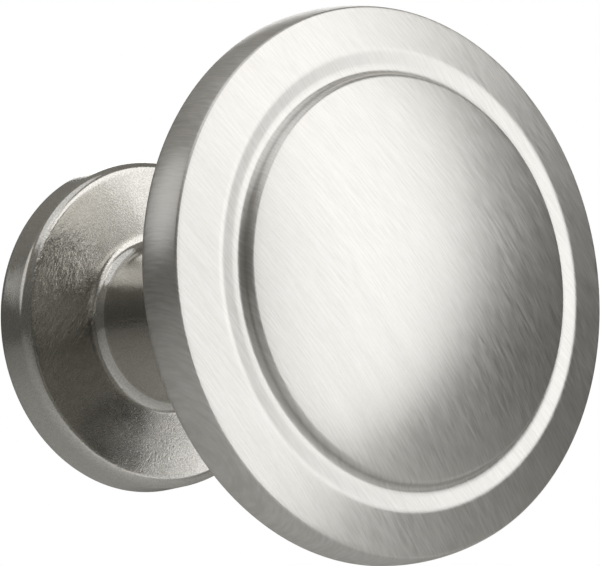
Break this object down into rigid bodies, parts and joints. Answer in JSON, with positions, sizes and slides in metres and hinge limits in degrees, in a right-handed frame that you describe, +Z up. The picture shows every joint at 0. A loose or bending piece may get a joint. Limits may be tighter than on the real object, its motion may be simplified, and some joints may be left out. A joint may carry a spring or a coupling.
{
  "type": "cabinet knob",
  "caption": "Round satin nickel cabinet knob with a low domed face inside a sloping ring, on a slim stem with a flat round base, screwed on from behind.",
  "frame": {"origin": "centre of the back face of the base, at the mouth of the screw hole, where the knob's axis meets the door or drawer front", "axes": "the knob as mounted on an upright front: its axis lies along Y, its face looks along -Y and the back of its base along +Y, with +Z up"},
  "size_m": [0.0322, 0.0287, 0.0322],
  "materials": {
    "satin_nickel": "brushed satin nickel plate over zinc on the head, rough cast under the plate on the base"
  },
  "bodies": {
    "root": {"knob": "satin_nickel"}
  },
  "joints": []
}
